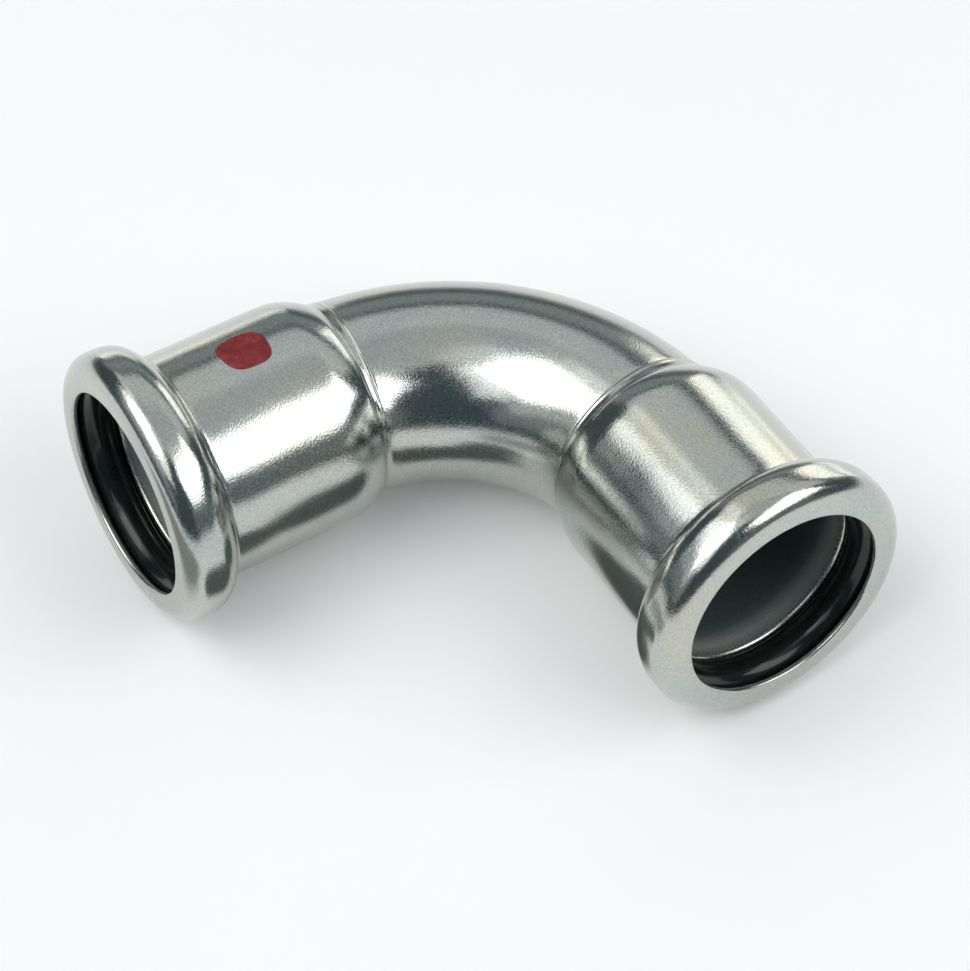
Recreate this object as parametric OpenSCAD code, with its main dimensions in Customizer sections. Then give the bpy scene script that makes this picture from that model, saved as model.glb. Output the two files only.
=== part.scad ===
// Press fit pipe elbow: a steel tube bent through a right angle, widened to a socket at each end.
// Each socket ends in a rolled bead, and the groove inside the bead holds a rubber seal ring.
// The elbow lies as it comes to rest: on both beads and on the back of the bend. +Z is up,
// +X runs from bead to bead, and the origin is the middle of the base of its box.

/* [Pipe] */
// Outside diameter of the pipe that the sockets take
pipe_d = 22; // [18:0.5:28]
// Radial gap between the pipe and the socket's bore
pipe_gap = 0.3; // [0.1:0.05:0.5]

/* [Tube] */
// Wall thickness of the formed tube
wall = 1.5; // [1:0.1:2]
// Radius of the bend's centre line
bend_radius = 24.8; // [22:0.1:45]

/* [Socket] */
// Length from the end of the bend to the mouth
socket_length = 25.9; // [22:0.1:45]
// Step up from the bend's outer wall to the socket's outer wall
shoulder_height = 1.75; // [1.2:0.05:2.2]
// Length from the end of the bend to where the socket has its full diameter
shoulder_run = 3.5; // [2.5:0.1:5]
// Radius that rounds the shoulder over
shoulder_round = 6.3; // [4.5:0.1:8]

/* [Bead] */
// Height of the bead's crest above the socket
bead_height = 2.75; // [2.5:0.05:4]
// Radius of the bead between its crest and its front face
bead_front_round = 2.3; // [2.1:0.1:3.2]
// Width of the bead's level crest
bead_crest_width = 1.2; // [0.8:0.1:3]
// Radius of the bead between its crest and its back
bead_rear_round = 3.4; // [2.8:0.1:4.5]
// Radius of the hollow where the bead's back meets the socket
bead_fillet = 0.6; // [0.3:0.1:1.5]
// Radial gap between the pipe and the edge of the mouth
lip_gap = 0.65; // [0.5:0.05:1.2]

/* [Seal ring] */
// Gap between the seal ring and the walls of its groove
seal_gap = 0.1; // [0.05:0.05:0.3]
// Radial gap between the pipe and the seal ring before pressing
seal_pipe_gap = 0.08; // [0.05:0.01:0.3]
// Thickness of the small lobe behind the ring's main lobe
seal_lobe_d = 1.4; // [1:0.1:1.8]
// Distance between the crests of the two lobes
seal_lobe_pitch = 1.1; // [0.8:0.1:1.8]

/* [Paint mark] */
// Length of the red mark along the left socket
mark_length = 5.8; // [5:0.1:9]
// Width of the red mark round the left socket
mark_width = 6.5; // [5:0.1:9]
// Radius of the mark's corners
mark_round = 2.3; // [0.5:0.1:2.5]
// Distance from the mouth to the middle of the mark
mark_from_mouth = 16.2; // [12:0.1:20]
// Turn of the mark from the top of the socket towards the outside of the bend
mark_angle = 5.4; // [-60:0.1:60]
// Thickness of the paint
paint = 0.12; // [0.05:0.01:0.3]
// Gap between the socket and the paint
paint_gap = 0.05; // [0.04:0.01:0.1]

/* [Hidden] */
$fn = 96;

// Radii about a socket's axis
pipe_r = pipe_d / 2;
bore_r = pipe_r + pipe_gap;
socket_r = bore_r + wall;
tube_r = socket_r - shoulder_height;
tube_bore_r = tube_r - wall;
bead_r = socket_r + bead_height;
groove_r = bead_r - wall;
lip_r = pipe_r + lip_gap;
paint_r = socket_r + paint_gap;

// Places along a socket's axis, from the point where both axes meet
mouth = bend_radius + socket_length;
shoulder_end = bend_radius + shoulder_run;
stop_round = shoulder_round - wall;
bend_overrun = asin(shoulder_run / 2 / (bend_radius - tube_r));

// Centres of the socket section's arcs, as [radius, place along the axis]
shoulder_c = [socket_r - shoulder_round, shoulder_end];
stop_c = [bore_r - stop_round, shoulder_end];
front_c = [bead_r - bead_front_round, mouth - bead_front_round];
rear_c = [bead_r - bead_rear_round, front_c.y - bead_crest_width];
fillet_x = socket_r + bead_fillet;
fillet_reach = bead_rear_round + bead_fillet;
fillet_c = [fillet_x, rear_c.y - sqrt(pow(fillet_reach, 2) - pow(fillet_x - rear_c.x, 2))];
lip_c = [lip_r + wall / 2, mouth - wall / 2];

// Points where the bead's back turns into the hollow beside it, outside and inside the wall
back_dir = (fillet_c - rear_c) / fillet_reach;
back_foot = rear_c + back_dir * bead_rear_round;
groove_foot = rear_c + back_dir * (bead_rear_round - wall);

// Seal ring: its main lobe fills the groove, and both lobes reach the same inner radius
seal_inner_r = pipe_r + seal_pipe_gap;
groove_depth = groove_r - seal_gap - seal_inner_r;
groove_width = mouth - rear_c.y + bead_rear_round - 2 * wall - 2 * seal_gap;
seal_r = min(groove_depth, groove_width) / 2;
lobe_r = seal_lobe_d / 2;
seal_c = [seal_inner_r + seal_r, mouth - max(bead_front_round, wall + seal_gap + seal_r)];
lobe_c = [seal_inner_r + lobe_r, seal_c.y - seal_lobe_pitch];

// Rest: the beads' backs and the back of the bend touch the ground at the same tilt
half = sqrt(0.5);
bend_apex = (sqrt(2) - 1) * bend_radius;
rest_arm = half * rear_c.y - bend_apex;
rest_drop = tube_r - bead_rear_round;
rest_sum = pow(rest_arm, 2) + pow(rear_c.x, 2) / 2;
rest_root = pow(rest_arm * rest_drop, 2) + rest_sum * (pow(rear_c.x, 2) - pow(rest_drop, 2));
tilt = asin((sqrt(rest_root) - rest_arm * rest_drop) / rest_sum);
lift = tube_r - bend_apex * sin(tilt);
back_y = tube_r - bend_apex * cos(tilt);
front_turn = half * cos(tilt);
front_y = front_turn * front_c.y + front_c.x * sqrt(1 - pow(front_turn, 2)) + bead_front_round;
shift_y = (front_y - back_y) / 2;

// Directions of the two sockets in the plane of the bend
LEFT = -135;
RIGHT = -45;

// Lays a piece of the level elbow down in its resting place
module at_rest() {
    translate([0, shift_y, lift]) rotate([-tilt, 0, 0]) children();
}

// Turns a piece made along +Z so that it lies along a socket's axis
module along_socket(direction) {
    rotate([0, 90, direction]) children();
}

// The bend as a turned round bar: a quarter turn, and at each end enough to reach into the socket
module bend(r) {
    translate([0, -sqrt(2) * bend_radius, 0])
        rotate([0, 0, 45 - bend_overrun])
            rotate_extrude(angle = 90 + 2 * bend_overrun)
                translate([bend_radius, 0]) circle(r);
}

module disc(centre, r) {
    translate(centre) circle(r);
}

// Half of a disc, up to the axis: the half towards the bend, or the half towards the mouth
module half_disc(centre, r, towards_mouth) {
    intersection() {
        disc(centre, r);
        translate([0, towards_mouth ? centre.y : centre.y - r]) square([centre.x + r, r]);
    }
}

// Outline of a socket and its bead, filled in to the axis
module socket_outline() {
    difference() {
        union() {
            polygon([
                [0, shoulder_c.y - shoulder_round], [shoulder_c.x, shoulder_c.y - shoulder_round],
                [socket_r, shoulder_end], [socket_r, fillet_c.y], back_foot,
                [bead_r, rear_c.y], [bead_r, front_c.y], [front_c.x, mouth], [0, mouth]
            ]);
            half_disc(shoulder_c, shoulder_round, false);
            half_disc(rear_c, bead_rear_round, false);
            half_disc(front_c, bead_front_round, true);
        }
        disc(fillet_c, bead_fillet);
    }
}

// Outline of the space inside a socket: pipe stop, bore, groove and mouth
module socket_space() {
    past_mouth = mouth + wall;
    difference() {
        union() {
            polygon([
                [0, stop_c.y - stop_round], [stop_c.x, stop_c.y - stop_round],
                [bore_r, shoulder_end], [bore_r, fillet_c.y], groove_foot,
                [groove_r, rear_c.y], [groove_r, front_c.y], [front_c.x, mouth - wall],
                [lip_c.x, mouth - wall], [lip_c.x, past_mouth], [0, past_mouth]
            ]);
            half_disc(stop_c, stop_round, false);
            half_disc(rear_c, bead_rear_round - wall, false);
            half_disc(front_c, bead_front_round - wall, true);
        }
        disc(fillet_c, bead_fillet + wall);
        disc(lip_c, wall / 2);
    }
}

module elbow_body() {
    color("silver") at_rest()
        difference() {
            union() {
                bend(tube_r);
                for (direction = [LEFT, RIGHT])
                    along_socket(direction) rotate_extrude() socket_outline();
            }
            bend(tube_bore_r);
            for (direction = [LEFT, RIGHT])
                along_socket(direction) rotate_extrude() socket_space();
        }
}

// Rubber ring with a main lobe, a small lobe behind it and a web that joins them
module seal_ring(direction) {
    web = lobe_r / 2;
    color("#1c1f20") at_rest() along_socket(direction)
        rotate_extrude()
            union() {
                disc(seal_c, seal_r);
                disc(lobe_c, lobe_r);
                polygon([
                    [lobe_c.x - web, lobe_c.y], [lobe_c.x + web, lobe_c.y],
                    [seal_c.x + web, seal_c.y], [seal_c.x - web, seal_c.y]
                ]);
            }
}

module seal_ring_left() {
    seal_ring(LEFT);
}

module seal_ring_right() {
    seal_ring(RIGHT);
}

module rounded_square(size, r) {
    square([size.x - 2 * r, size.y], center = true);
    square([size.x, size.y - 2 * r], center = true);
    for (x = [-1, 1], y = [-1, 1])
        translate([x * (size.x / 2 - r), y * (size.y / 2 - r)]) circle(r);
}

// Patch of paint on the left socket, cut from a thin sleeve round it
module red_mark() {
    color("#a52637") at_rest() along_socket(LEFT)
        rotate([0, 0, 180 + mark_angle])
            translate([0, 0, mouth - mark_from_mouth])
                intersection() {
                    difference() {
                        cylinder(h = 2 * mark_length, r = paint_r + paint, center = true);
                        cylinder(h = 3 * mark_length, r = paint_r, center = true);
                    }
                    rotate([0, 90, 0])
                        linear_extrude(2 * socket_r)
                            rounded_square([mark_length, mark_width], mark_round);
                }
}

elbow_body();
seal_ring_left();
seal_ring_right();
red_mark();
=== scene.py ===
"""Dresses the press fit elbow: fine surfaces, zinc, rubber and paint, soft studio light and the camera.

The elbow's skin and the two seal rings are sections carried along the elbow's centre line, and the
paint mark is a patch laid on the left socket. Sizes are in millimetres, as in the part's source.
"""

import math

import bpy
import numpy as np
from mathutils import Matrix, Vector


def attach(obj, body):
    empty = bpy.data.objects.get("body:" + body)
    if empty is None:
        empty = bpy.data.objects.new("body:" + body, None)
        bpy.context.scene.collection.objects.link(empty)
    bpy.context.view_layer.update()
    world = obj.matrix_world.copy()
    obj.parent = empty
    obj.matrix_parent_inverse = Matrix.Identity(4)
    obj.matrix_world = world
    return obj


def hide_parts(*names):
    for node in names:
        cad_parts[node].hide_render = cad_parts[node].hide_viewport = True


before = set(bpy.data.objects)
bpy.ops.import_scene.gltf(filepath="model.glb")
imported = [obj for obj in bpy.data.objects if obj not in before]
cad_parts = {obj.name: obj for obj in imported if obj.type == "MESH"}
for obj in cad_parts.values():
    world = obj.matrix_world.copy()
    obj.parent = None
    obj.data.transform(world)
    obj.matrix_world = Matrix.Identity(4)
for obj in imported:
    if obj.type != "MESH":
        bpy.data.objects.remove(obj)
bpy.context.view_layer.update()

MM = 0.001

# Radii about the centre line
TUBE_R = 11.05
TUBE_BORE_R = 9.55
SOCKET_R = 12.8
BORE_R = 11.3
BEAD_R = 15.55
GROOVE_R = 14.05
LIP_R = 11.65

# Places along a socket's axis, from the point where both axes meet
BEND_RADIUS = 24.8
MOUTH = 50.7
LIP_BACK = 50.0
GROOVE_BACK = 45.6

# Centres of the socket section's arcs, as (place along the axis, radius), and the radii of its edges
SHOULDER_C = (28.3, 6.5)
FILLET_C = (43.4, 13.4)
REAR_C = (47.2, 12.15)
FRONT_C = (48.4, 13.25)
LIP_EDGE = 0.26
BORE_EDGE = 0.45

# Seal ring: its main lobe, the small lobe behind it, and how much the main lobe bulges to the mouth
SEAL_C = (47.665, 12.515)
SEAL_R = 1.435
LOBE_C = (46.565, 11.78)
LOBE_R = 0.7
SEAL_BULGE = 1.25

# Where the axes meet, and the tilt of the elbow's plane as it lies at rest
AXES_MEET = np.array([0.0, 22.236, 9.098])
TILT = math.radians(10.9535)
PLANE_RIGHT = np.array([1.0, 0.0, 0.0])
PLANE_BACK = np.array([0.0, math.cos(TILT), -math.sin(TILT)])
PLANE_UP = np.array([0.0, math.sin(TILT), math.cos(TILT)])
BEND_CENTRE = AXES_MEET - math.sqrt(2) * BEND_RADIUS * PLANE_BACK

# Steps round the centre line, half the bend's run along it, and the run to each shoulder's foot
ROUND = 160
BEND_HALF = BEND_RADIUS * math.pi / 4
FOOT = BEND_HALF - 0.86

# Steps along the outlines before they are thinned, and how far each outline is softened
WALL_STEP = 0.04
WALL_SOFT = 0.12
SADDLE_SOFT = 1.3
SEAL_STEP = 0.03
SEAL_SOFT = 0.14

# What the forming left: how far each socket is off centre, the fillet at the shoulder's foot, and the
# fine ridge there with a line on each side
LEFT_OFF, RIGHT_OFF = 0.30, 0.44
FILLET_RISE = 0.17
RIDGE = -0.95
RIDGE_RISE = 0.060
LINE_GAP = 0.30
LINE_BEFORE, LINE_AFTER = 0.035, 0.02

# Paint mark: its middle along the left socket and round it, its radius, thickness and raised rim
MARK = 34.6
MARK_TURN = math.radians(87.8)
MARK_R = 2.92
MARK_THICK = 0.10
MARK_RIM = 0.03
MARK_SUNK = 0.04
MARK_SPOKES = 96

WHITE = (1.0, 1.0, 1.0)
CREAM = (1.0, 0.97, 0.88)
ROOM = (0.06, 0.085, 0.10)
PAPER = (0.88, 0.88, 0.88)
PAPER_GLOW = 0.08

# Lamps: name, azimuth and elevation in degrees, distance, width and height in metres, brightness, colour,
# and if the lamp lights the floor
LAMPS = [
    ("softbox_left", -66, 58, 0.7, 0.50, 0.46, 2.7, WHITE, True),
    ("softbox_front", -18, 56, 0.7, 0.26, 0.46, 1.15, WHITE, True),
    ("softbox_left_rim", -62, 50, 0.75, 0.80, 0.68, 0.35, WHITE, True),
    ("softbox_far_left", -104, 46, 0.7, 0.20, 0.24, 1.1, WHITE, True),
    ("softbox_right", 86, 43.4, 0.7, 0.62, 0.40, 2.7, WHITE, True),
    ("ceiling_panel", 180, 79.5, 1.1, 1.5, 1.05, 0.47, WHITE, True),
    ("ceiling_glow", -50, 81, 1.1, 0.50, 0.40, 0.28, WHITE, False),
    ("back_panel", 178, 43, 1.0, 1.7, 0.44, 0.60, WHITE, True),
    ("back_wall", 182, 14, 1.2, 2.2, 0.40, 0.24, WHITE, False),
    ("low_panel_left", -52, 22, 0.8, 1.0, 0.32, 0.17, WHITE, False),
    ("low_panel_right", 65, 14, 0.8, 0.6, 0.30, 0.10, WHITE, False),
    ("warm_panel", -119, 51, 0.9, 0.40, 0.32, 0.72, CREAM, False),
    ("cream_panel", 161, 11, 0.6, 0.30, 0.23, 1.55, CREAM, True),
    ("cream_strip_left", -139, 8, 0.107, 0.045, 0.015, 1.1, CREAM, False),
    ("cream_strip_right", 144, 7, 0.099, 0.040, 0.015, 1.2, CREAM, False),
]


def bell(distance, reach):
    """A bell curve, 1 at no distance."""
    return np.exp(-0.5 * (distance / reach) ** 2)


def smooth(value, start, end):
    """A step from 0 at start to 1 at end, level at both."""
    share = np.clip((value - start) / (end - start), 0.0, 1.0)
    return share * share * (3 - 2 * share)


def arc(centre, radius, start, end):
    """Points 0.02 mm apart on a circle about centre, from one angle to the other in degrees."""
    count = max(int(abs(math.radians(end - start)) * radius / 0.02), 4)
    turn = np.radians(np.linspace(start, end, count))
    return np.stack([centre[0] + radius * np.cos(turn), centre[1] + radius * np.sin(turn)], axis=1)


def evenly(points, step):
    """A closed line through the points, cut into equal steps of about the given length."""
    closed = np.vstack([points, points[:1]])
    run = np.concatenate([[0.0], np.cumsum(np.hypot(*np.diff(closed, axis=0).T))])
    at = np.linspace(0.0, run[-1], int(run[-1] / step), endpoint=False)
    return np.stack([np.interp(at, run, closed[:, k]) for k in (0, 1)], axis=1)


def softened(points, step, reach):
    """An even closed line, averaged along itself under a bell curve of the given reach."""
    wave = np.fft.fftfreq(len(points), step) * 2 * math.pi
    kept = np.exp(-0.5 * (wave * reach) ** 2)
    return np.real(np.fft.ifft(np.fft.fft(points, axis=0) * kept[:, None], axis=0))


def thinned(points, per_mm, per_turn):
    """Which points of a fine closed line to keep: they crowd together where the line turns, and per_mm
    is how many a millimetre gets where the line runs straight."""
    ahead = np.roll(points, -1, axis=0) - points
    length = np.hypot(ahead[:, 0], ahead[:, 1])
    heading = np.unwrap(np.arctan2(ahead[:, 1], ahead[:, 0]))
    turn = np.abs(np.diff(heading, append=heading[-1]))
    weight = np.concatenate([[0.0], np.cumsum(length * per_mm + turn * per_turn)])
    keep = np.searchsorted(weight, np.arange(0.0, weight[-1], 1.0))
    return np.unique(np.clip(keep, 0, len(points) - 1))


def half_section():
    """Outline of the wall from the middle of the bend to the mouth and back inside: run, radius."""
    foot = 180 - math.degrees(math.asin((TUBE_R - SHOULDER_C[1]) / (SOCKET_R - SHOULDER_C[1])))
    stop = 180 - math.degrees(math.asin((TUBE_BORE_R - SHOULDER_C[1]) / (BORE_R - SHOULDER_C[1])))
    back = math.degrees(math.atan2(FILLET_C[1] - REAR_C[1], FILLET_C[0] - REAR_C[0]))
    groove_rear = GROOVE_R - REAR_C[1]
    outline = np.vstack([
        [[BEND_RADIUS - BEND_HALF, TUBE_R]],
        arc(SHOULDER_C, SOCKET_R - SHOULDER_C[1], foot, 90),
        arc(FILLET_C, FILLET_C[1] - SOCKET_R, 270, 180 + back),
        arc(REAR_C, BEAD_R - REAR_C[1], back, 90),
        arc(FRONT_C, BEAD_R - FRONT_C[1], 90, 0),
        arc((MOUTH - LIP_EDGE, LIP_R + LIP_EDGE), LIP_EDGE, 0, -90),
        arc((LIP_BACK + LIP_EDGE, LIP_R + LIP_EDGE), LIP_EDGE, -90, -180),
        arc(FRONT_C, GROOVE_R - FRONT_C[1], 0, 90),
        arc((GROOVE_BACK + groove_rear, REAR_C[1]), groove_rear, 90, 180),
        arc((GROOVE_BACK - BORE_EDGE, BORE_R + BORE_EDGE), BORE_EDGE, 0, -90),
        arc(SHOULDER_C, BORE_R - SHOULDER_C[1], 90, stop),
        [[BEND_RADIUS - BEND_HALF, TUBE_BORE_R]],
    ])
    outline[:, 0] += BEND_HALF - BEND_RADIUS
    return outline


def carried(run, radius, turn):
    """Points round the centre line: at each run along it, radius out, at an angle from the outside of
    the bend over the top. The line is an arc about the bend's centre, and straight beyond it."""
    on_arc = np.clip(run, -BEND_HALF, BEND_HALF)
    angle = on_arc / BEND_RADIUS
    out = np.sin(angle)[..., None] * PLANE_RIGHT + np.cos(angle)[..., None] * PLANE_BACK
    along = np.cos(angle)[..., None] * PLANE_RIGHT - np.sin(angle)[..., None] * PLANE_BACK
    middle = BEND_CENTRE + BEND_RADIUS * out + (run - on_arc)[..., None] * along
    spoke = np.cos(turn)[..., None] * out + np.sin(turn)[..., None] * PLANE_UP
    return middle + radius[..., None] * spoke


def grid_faces(rows, columns):
    """Four-sided faces of a grid that closes on itself both ways."""
    i, j = np.meshgrid(np.arange(rows), np.arange(columns), indexing="ij")
    i2, j2 = (i + 1) % rows, (j + 1) % columns
    corners = [i * columns + j, i * columns + j2, i2 * columns + j2, i2 * columns + j]
    return np.stack(corners, axis=-1).reshape(-1, 4)


def add_piece(name, points, faces, material, node):
    """A smooth mesh from points in millimetres, riding on the part in place of one CAD node."""
    mesh = bpy.data.meshes.new(name)
    mesh.from_pydata((points.reshape(-1, 3) * MM).tolist(), [], faces)
    mesh.polygons.foreach_set("use_smooth", np.ones(len(mesh.polygons), dtype=bool))
    mesh.materials.append(material)
    mesh.update()
    piece = bpy.data.objects.new(name, mesh)
    bpy.context.collection.objects.link(piece)
    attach(piece, "root")
    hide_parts(node)
    return piece


def wall_radius(place):
    """About the radius of the wall's outside, at a place past the shoulder's foot."""
    return TUBE_R + (SOCKET_R - TUBE_R) * smooth(place, -1.0, 3.5)


def outer_wall(place, radius):
    """True on the wall's outside, False inside the tube."""
    return radius > wall_radius(place) - 0.75


def saddle(run, turn):
    """1 on the inner side of the bend, where each shoulder is a smooth saddle; 0 elsewhere."""
    inward = -np.cos(turn)
    return np.where(run < 0, smooth(inward, 0.68, 0.88), smooth(inward, 0.86, 0.99))


def formed(run, radius, turn):
    """How far the forming moved the wall out. Each socket is widened a little off centre, towards the
    outside of the bend. A soft fillet fills the shoulder's foot, and a fine ridge between two lines
    runs round it, except at the saddle."""
    place = np.abs(run) - FOOT
    widened = smooth(place, -2.5, 3.5) * (1 - smooth(place, 5.0, 18.0))
    off = np.where(run < 0, LEFT_OFF, RIGHT_OFF) * widened
    fillet = FILLET_RISE * bell(place - 0.4, 0.85)
    ridge = RIDGE_RISE * bell(place - RIDGE, 0.10)
    before = LINE_BEFORE * bell(place - RIDGE + LINE_GAP, 0.12)
    after = LINE_AFTER * bell(place - RIDGE - LINE_GAP, 0.12)
    crease = (1 - saddle(run, turn)) * (fillet + ridge - before - after)
    return off * np.cos(turn) + np.where(outer_wall(place, radius), crease, 0.0)


def wall_line():
    """The wall's closed outline over both halves of the elbow, softened and thinned, and how far each of
    its points moves where a shoulder is eased into the saddle."""
    half = half_section()
    even = evenly(np.vstack([half, (half * [-1, 1])[::-1]]), WALL_STEP)
    line = softened(even, WALL_STEP, WALL_SOFT)
    ease = softened(even, WALL_STEP, SADDLE_SOFT) - line
    place = np.abs(line[:, 0]) - FOOT
    outer = outer_wall(place, line[:, 1])
    at_shoulder = outer * (1 - smooth(np.abs(place - 0.5), 3.0, 6.5))
    near_ridge = bell(place - RIDGE, 0.32)
    near_shoulder = bell(place - 1.0, 1.6)
    per_mm = 0.9 + outer * (17.0 * near_ridge + 2.5 * near_shoulder)
    kept = thinned(line, per_mm, 8.0)
    return line[kept], (ease * at_shoulder[:, None])[kept]


def inside_share(run, radius):
    """How much duller coat and painted shade each point gets inside the tube: 1 deep inside, less towards
    the groove and at its edge, where a painted sheen is left, and 0 on the outside and the lip."""
    along = np.abs(run) - BEND_HALF + BEND_RADIUS
    within = np.clip((wall_radius(np.abs(run) - FOOT) - 0.35 - radius) / 0.6, 0.0, 1.0)
    # Painted sheen: less painted shade towards the groove and at the bore's edge
    sheen_towards_groove = 1 - 0.7 * smooth(along, 41.5, 45.2)
    sheen_at_edge = 1 - 0.8 * bell(along - GROOVE_BACK, 0.3)
    return within * (along < MOUTH - LIP_EDGE) * sheen_towards_groove * sheen_at_edge


def add_body(material):
    """The formed tube: the wall's outline carried along the centre line and round it."""
    line, ease = wall_line()
    turn = np.linspace(0, 2 * math.pi, ROUND, endpoint=False)
    run, around = np.meshgrid(line[:, 0], turn, indexing="ij")
    radius = np.repeat(line[:, 1:], ROUND, axis=1)
    inside = inside_share(run, radius)
    eased = saddle(run, around)
    radius = radius + formed(run, radius, around) + eased * ease[:, 1:]
    run = run + eased * ease[:, :1]
    points = carried(run, radius, around)
    faces = grid_faces(*run.shape).tolist()
    piece = add_piece("elbow_skin", points, faces, material, "elbow_body")
    # The share of duller coat and painted shade inside the tube, for the zinc's colour and gloss
    shade = piece.data.attributes.new("inside", "FLOAT", "POINT")
    shade.data.foreach_set("value", inside.reshape(-1).astype(np.float32))


def seal_section():
    """Outline of the seal: in each direction from the main lobe's centre, the far side of the main lobe
    or of the small lobe behind it, whichever is farther; the main lobe bulges towards the mouth."""
    turn = np.radians(np.linspace(0, 360, 1440, endpoint=False))
    out = np.stack([np.cos(turn), np.sin(turn)], axis=1)
    gap = np.array(LOBE_C) - np.array(SEAL_C)
    lean = out @ gap
    within = lean ** 2 - gap @ gap + LOBE_R ** 2
    reach = np.where(within > 0, lean + np.sqrt(np.maximum(within, 0)), 0)
    offset = out * np.maximum(SEAL_R, reach)[:, None]
    offset[:, 0] *= np.where(offset[:, 0] > 0, SEAL_BULGE, 1.0)
    return np.array(SEAL_C) + offset


def add_seal(name, side, node, material):
    """A lobed ring: the seal's outline, softened, turned round the axis of the socket on one side."""
    outline = seal_section()
    outline[:, 0] += BEND_HALF - BEND_RADIUS
    line = softened(evenly(outline, SEAL_STEP), SEAL_STEP, SEAL_SOFT)
    line = line[thinned(line, 2.0, 9.0)]
    turn = np.linspace(0, 2 * math.pi, ROUND, endpoint=False) * -side
    run, around = np.meshgrid(side * line[:, 0], turn, indexing="ij")
    radius = np.repeat(line[:, 1:], ROUND, axis=1)
    points = carried(run, radius, around)
    add_piece(name, points, grid_faces(*run.shape).tolist(), material, node)


def add_mark(material):
    """A thin blob of paint on the left socket: rings of an uneven round outline over the top and back
    underneath, thickest near the rim, laid on the socket's wall."""
    turn = np.linspace(0, 2 * math.pi, MARK_SPOKES, endpoint=False)
    outline = MARK_R + 0.02 * np.cos(turn) - 0.22 * np.sin(turn)
    outline = outline - 0.15 * np.cos(4 * turn) + 0.03 * np.cos(3 * turn + 0.6)
    over = np.linspace(0.02, 1, 26) ** 0.7
    under = over[-2::-5]
    top = MARK_THICK * np.sqrt(1 - over ** 8) + MARK_RIM * bell(over - 0.86, 0.08)
    lift = np.concatenate([top, np.full(len(under), -MARK_SUNK)])
    reach = np.concatenate([over, under])[:, None] * outline
    run = -(BEND_HALF - BEND_RADIUS + MARK + reach * np.cos(turn))
    around = MARK_TURN + reach * np.sin(turn) / SOCKET_R
    wall = np.full(run.shape, SOCKET_R)
    points = carried(run, wall + formed(run, wall, around) + lift[:, None], around)
    last = (len(lift) - 1) * MARK_SPOKES
    sides = grid_faces(len(lift), MARK_SPOKES)[:last, ::-1].tolist()
    ends = [list(range(MARK_SPOKES)), list(range(last + MARK_SPOKES - 1, last - 1, -1))]
    add_piece("paint_mark", points, sides + ends, material, "red_mark")


def new_material(name):
    """A new material, its node tree and its shader's inputs."""
    material = bpy.data.materials.new(name)
    material.use_nodes = True
    tree = material.node_tree
    return material, tree, tree.nodes["Principled BSDF"].inputs


def noise(tree, scale, detail=2.0):
    """Noise in the part's own space; a scale of 1000 makes grains of about a millimetre."""
    place = tree.nodes.new("ShaderNodeTexCoord")
    grain = tree.nodes.new("ShaderNodeTexNoise")
    grain.inputs["Scale"].default_value = scale
    grain.inputs["Detail"].default_value = detail
    tree.links.new(place.outputs["Object"], grain.inputs["Vector"])
    return grain.outputs["Fac"]


def ramp(tree, value, stops):
    """A colour that runs through the given stops as the value rises."""
    node = tree.nodes.new("ShaderNodeValToRGB")
    ends = node.color_ramp.elements
    ends[0].position, ends[0].color = stops[0][0], (*stops[0][1], 1)
    ends[1].position, ends[1].color = stops[-1][0], (*stops[-1][1], 1)
    for at, colour in stops[1:-1]:
        ends.new(at).color = (*colour, 1)
    tree.links.new(value, node.inputs["Fac"])
    return node.outputs["Color"]


def span(tree, value, low, high, start=0.3, end=0.7):
    """A value between start and end stretched over the range from low to high."""
    node = tree.nodes.new("ShaderNodeMapRange")
    node.inputs["From Min"].default_value = start
    node.inputs["From Max"].default_value = end
    node.inputs["To Min"].default_value = low
    node.inputs["To Max"].default_value = high
    tree.links.new(value, node.inputs["Value"])
    return node.outputs["Result"]


def times(tree, first, second):
    """One colour times another."""
    node = tree.nodes.new("ShaderNodeMix")
    node.data_type = "RGBA"
    node.blend_type = "MULTIPLY"
    node.inputs["Factor"].default_value = 1.0
    tree.links.new(first, node.inputs["A"])
    tree.links.new(second, node.inputs["B"])
    return node.outputs["Result"]


def maths(tree, operation, *values):
    """The result of an operation on node outputs and plain numbers."""
    node = tree.nodes.new("ShaderNodeMath")
    node.operation = operation
    for socket, value in zip(node.inputs, values):
        if isinstance(value, float):
            socket.default_value = value
        else:
            tree.links.new(value, socket)
    return node.outputs["Value"]


def bump(tree, height, depth, under=None, strength=None):
    """A surface roughened by a height of up to depth millimetres, over another one if that is given."""
    node = tree.nodes.new("ShaderNodeBump")
    node.inputs["Strength"].default_value = 1.0
    node.inputs["Distance"].default_value = depth * MM
    tree.links.new(height, node.inputs["Height"])
    if strength is not None:
        tree.links.new(strength, node.inputs["Strength"])
    if under is not None:
        tree.links.new(under, node.inputs["Normal"])
    return node.outputs["Normal"]


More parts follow.
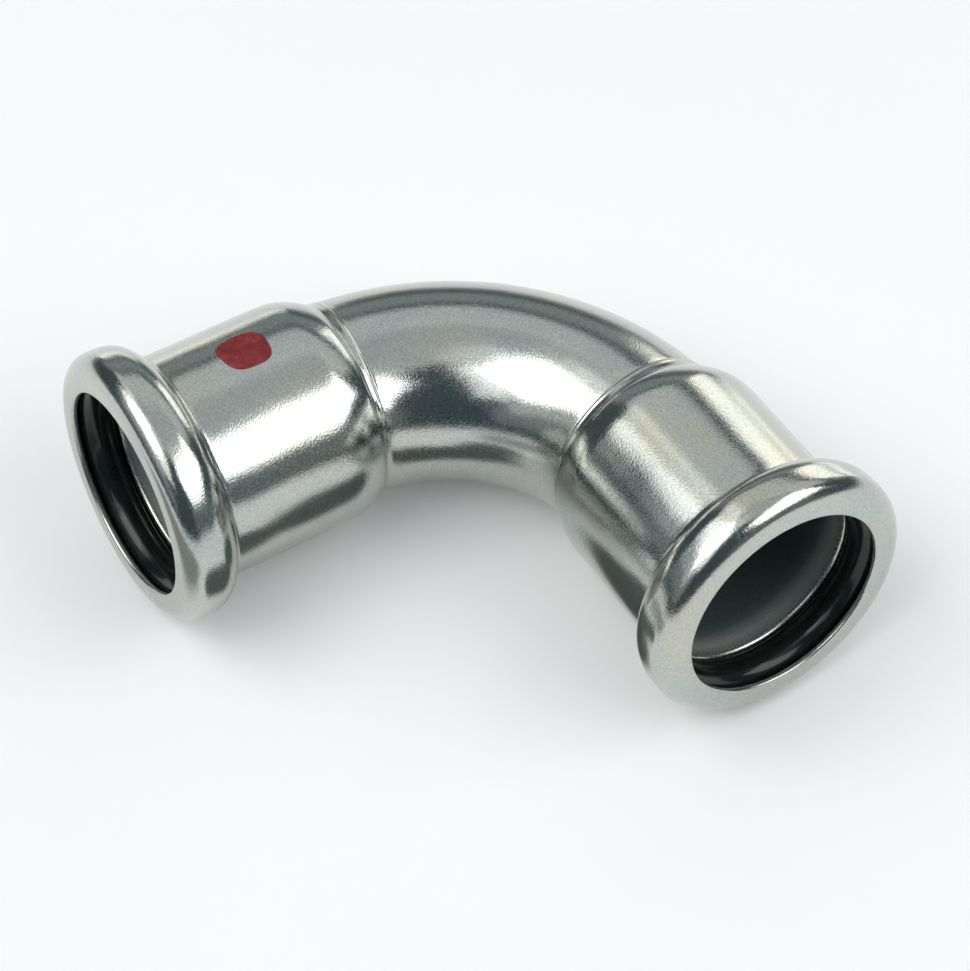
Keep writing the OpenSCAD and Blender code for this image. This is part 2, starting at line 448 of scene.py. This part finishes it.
def zinc():
    """Bright zinc on formed steel: a fine grain, slow waves in the wall, faint warm and cool tints, and a
    duller coat inside the tube, with painted shade that darkens it deep inside and a painted sheen
    towards the groove and at the bore's edge."""
    material, tree, shader = new_material("zinc_plating")
    attribute = tree.nodes.new("ShaderNodeAttribute")
    attribute.attribute_name = "inside"
    inside = attribute.outputs["Fac"]
    tints = [(0.35, (0.50, 0.53, 0.51)), (0.5, (0.535, 0.555, 0.52)), (0.65, (0.565, 0.56, 0.49))]
    specks = [(0.3, (0.84, 0.85, 0.86)), (0.7, (1.10, 1.10, 1.09))]
    # Painted shade: the colour darkens deep inside the tube and stays pale towards the groove, a painted
    # sheen
    shade_stops = [(0.0, WHITE), (0.5, (0.95, 0.98, 1.0)), (1.0, (0.25, 0.32, 0.36))]
    tint = ramp(tree, noise(tree, 110, 3), tints)
    speck = ramp(tree, noise(tree, 4200), specks)
    depth = ramp(tree, inside, shade_stops)
    matte = span(tree, inside, 0.0, 1.0, 0.0, 0.5)
    gloss = span(tree, noise(tree, 5600), 0.12, 0.25, 0.47, 0.64)
    waves = bump(tree, noise(tree, 160, 1), 0.06)
    grain_strength = maths(tree, "MULTIPLY_ADD", matte, -0.85, 1.0)
    grain = bump(tree, noise(tree, 4600), 0.014, waves, grain_strength)
    tree.links.new(times(tree, times(tree, tint, speck), depth), shader["Base Color"])
    tree.links.new(span(tree, inside, 1.0, 0.45, 0.0, 0.5), shader["Metallic"])
    tree.links.new(maths(tree, "MULTIPLY_ADD", matte, 0.28, gloss), shader["Roughness"])
    tree.links.new(grain, shader["Normal"])
    return material


def rubber():
    """Smooth black rubber: a soft gloss that varies a little."""
    material, tree, shader = new_material("black_rubber")
    tints = [(0.3, (0.006, 0.009, 0.008)), (0.7, (0.012, 0.016, 0.015))]
    tree.links.new(ramp(tree, noise(tree, 500), tints), shader["Base Color"])
    tree.links.new(span(tree, noise(tree, 700), 0.13, 0.20), shader["Roughness"])
    shader["Specular IOR Level"].default_value = 0.4
    return material


def red_paint():
    """Thin dark red paint: glossy, uneven in strength."""
    material, tree, shader = new_material("red_paint")
    tints = [(0.3, (0.13, 0.006, 0.008)), (0.55, (0.20, 0.010, 0.012)), (0.75, (0.30, 0.035, 0.035))]
    tree.links.new(ramp(tree, noise(tree, 900, 4), tints), shader["Base Color"])
    tree.links.new(span(tree, noise(tree, 1500), 0.16, 0.34), shader["Roughness"])
    tree.links.new(bump(tree, noise(tree, 2200, 3), 0.10), shader["Normal"])
    return material


def painted_shade_felt(name, colour):
    """Plain felt for sheets that show only in the metal: painted shade of the floor in its reflections.
    """
    material, _, shader = new_material(name)
    shader["Base Color"].default_value = (*colour, 1)
    shader["Roughness"].default_value = 0.9
    return material


def faded_painted_shadow(name, ellipses, shade):
    """Felt of a shade that fades to the floor's paper at the edges of ellipses, in millimetres: a painted
    shadow that shows only in the metal.
    """
    material, tree, shader = new_material(name)
    place = tree.nodes.new("ShaderNodeTexCoord")
    fades = []
    for middle, reach in ellipses:
        fitted = tree.nodes.new("ShaderNodeMapping")
        fitted.inputs["Scale"].default_value = (1 / (reach[0] * MM), 1 / (reach[1] * MM), 0)
        fitted.inputs["Location"].default_value = (-middle[0] / reach[0], -middle[1] / reach[1], 0)
        tree.links.new(place.outputs["Object"], fitted.inputs["Vector"])
        fade = tree.nodes.new("ShaderNodeTexGradient")
        fade.gradient_type = "SPHERICAL"
        tree.links.new(fitted.outputs["Vector"], fade.inputs["Vector"])
        fades.append(fade.outputs["Fac"])
    deepest = fades[0]
    for fade in fades[1:]:
        deepest = maths(tree, "MAXIMUM", deepest, fade)
    colour = ramp(tree, deepest, [(0.0, (0.93, 0.93, 0.93)), (0.22, shade)])
    tree.links.new(colour, shader["Base Color"])
    shader["Roughness"].default_value = 0.9
    return material


def paper():
    """Pale paper; the camera and the metal see it a little paler than the lamps make it."""
    material, tree, shader = new_material("floor_paper")
    shader["Base Color"].default_value = (*PAPER, 1)
    shader["Roughness"].default_value = 0.9
    ray = tree.nodes.new("ShaderNodeLightPath").outputs
    mirrored = maths(tree, "MAXIMUM", ray["Is Glossy Ray"], ray["Is Transmission Ray"])
    seen = maths(tree, "MAXIMUM", ray["Is Camera Ray"], mirrored)
    shader["Emission Color"].default_value = (*WHITE, 1)
    tree.links.new(maths(tree, "MULTIPLY", seen, PAPER_GLOW), shader["Emission Strength"])
    return material


def add_sheet(name, box, height, material):
    """A level sheet of the studio at a height, over a box of x and y from low to high, in millimetres."""
    x0, y0, x1, y1 = box
    corners = [(x0, y0), (x1, y0), (x1, y1), (x0, y1)]
    mesh = bpy.data.meshes.new(name)
    mesh.from_pydata([(x * MM, y * MM, height * MM) for x, y in corners], [], [[0, 1, 2, 3]])
    mesh.materials.append(material)
    sheet = bpy.data.objects.new(name, mesh)
    bpy.context.collection.objects.link(sheet)
    return sheet


def add_floor():
    """A pale floor, and on it sheets that show only in the metal as painted shade: a painted shadow in
    front of the crook, painted shade in front of the left mouth, and painted shade that deepens behind."""
    # Painted shadow in front of the crook and painted shade in front of the left mouth and behind, for
    # the metal's reflections
    crook_shadow = faded_painted_shadow("painted_crook_shadow", [((4, -16.5), (15, 9.5)), ((-9, -29), (11, 13))], (0.10, 0.115, 0.115))
    front_shade = faded_painted_shadow("painted_front_shade", [((-62, -75), (55, 55))], (0.30, 0.31, 0.30))
    near_shade = painted_shade_felt("painted_near_shade", (0.5, 0.5, 0.5))
    far_shade = painted_shade_felt("painted_far_shade", (0.16, 0.18, 0.18))
    add_sheet("floor", (-3000, -3000, 3000, 3000), 0.0, paper())
    unseen = [
        add_sheet("crook_shadow_sheet", (-24, -46, 20, -6), 0.4, crook_shadow),
        add_sheet("front_shade_sheet", (-118, -131, -6, -19), 0.2, front_shade),
        add_sheet("shade_near", (-3000, 112, 3000, 3000), 0.2, near_shade),
        add_sheet("shade_far", (-3000, 150, 3000, 3000), 0.4, far_shade),
    ]
    # Painted shade: these sheets show only in the metal's reflections; the camera doesn't see them, and
    # they neither light nor shadow anything
    for sheet in unseen:
        sheet.visible_camera = False
        sheet.visible_diffuse = False
        sheet.visible_shadow = False


def direction(azimuth, elevation):
    """Unit vector towards an azimuth, from the front to the right, and an elevation, in degrees."""
    a, e = math.radians(azimuth), math.radians(elevation)
    return Vector((math.sin(a) * math.cos(e), -math.cos(a) * math.cos(e), math.sin(e)))


def add_lamp(name, azimuth, elevation, distance, width, height, level, colour, fills):
    """A rectangular lamp that faces the part; level is its brightness, where 1 is paper white. One that
    doesn't fill shows in the metal without lighting the floor."""
    lamp = bpy.data.lights.new(name, "AREA")
    lamp.shape = "RECTANGLE"
    lamp.size, lamp.size_y = width, height
    lamp.energy = level * math.pi * width * height
    lamp.color = colour
    holder = bpy.data.objects.new(name, lamp)
    towards = direction(azimuth, elevation)
    holder.location = towards * distance
    holder.rotation_euler = towards.to_track_quat("Z", "Y").to_euler()
    holder.visible_camera = False
    holder.visible_diffuse = fills
    bpy.context.collection.objects.link(holder)


def add_light():
    """A dim room with bright softboxes high on the left and right, dimmer panels above and behind, and
    small cream strips close to the shoulders."""
    world = bpy.data.worlds.new("studio")
    world.use_nodes = True
    background = world.node_tree.nodes["Background"].inputs
    background["Color"].default_value = (*ROOM, 1)
    background["Strength"].default_value = 1.0
    bpy.context.scene.world = world
    for lamp in LAMPS:
        add_lamp(*lamp)


def add_camera():
    """The camera on a sphere about a point: azimuth, elevation and roll in degrees."""
    azimuth, elevation, roll = 16.162, 56.659, math.radians(-4.363)
    target, distance = Vector((1.627, -2.841, 13.407)) * MM, 315.201 * MM
    back = direction(azimuth, elevation)
    level = Vector((-back.y, back.x, 0)).normalized()
    rise = back.cross(level)
    right = math.cos(roll) * level + math.sin(roll) * rise
    up = back.cross(right)
    lens = bpy.data.cameras.new("camera")
    lens.lens = 108.494
    lens.sensor_width = 36.0
    camera = bpy.data.objects.new("camera", lens)
    camera.matrix_world = Matrix((right, up, back)).transposed().to_4x4()
    camera.location = target + back * distance
    bpy.context.collection.objects.link(camera)
    bpy.context.scene.camera = camera


steel, black, red = zinc(), rubber(), red_paint()
add_body(steel)
add_seal("seal_left", -1, "seal_ring_left", black)
add_seal("seal_right", 1, "seal_ring_right", black)
add_mark(red)
add_floor()
add_light()
add_camera()
bpy.context.scene.view_settings.view_transform = "Standard"
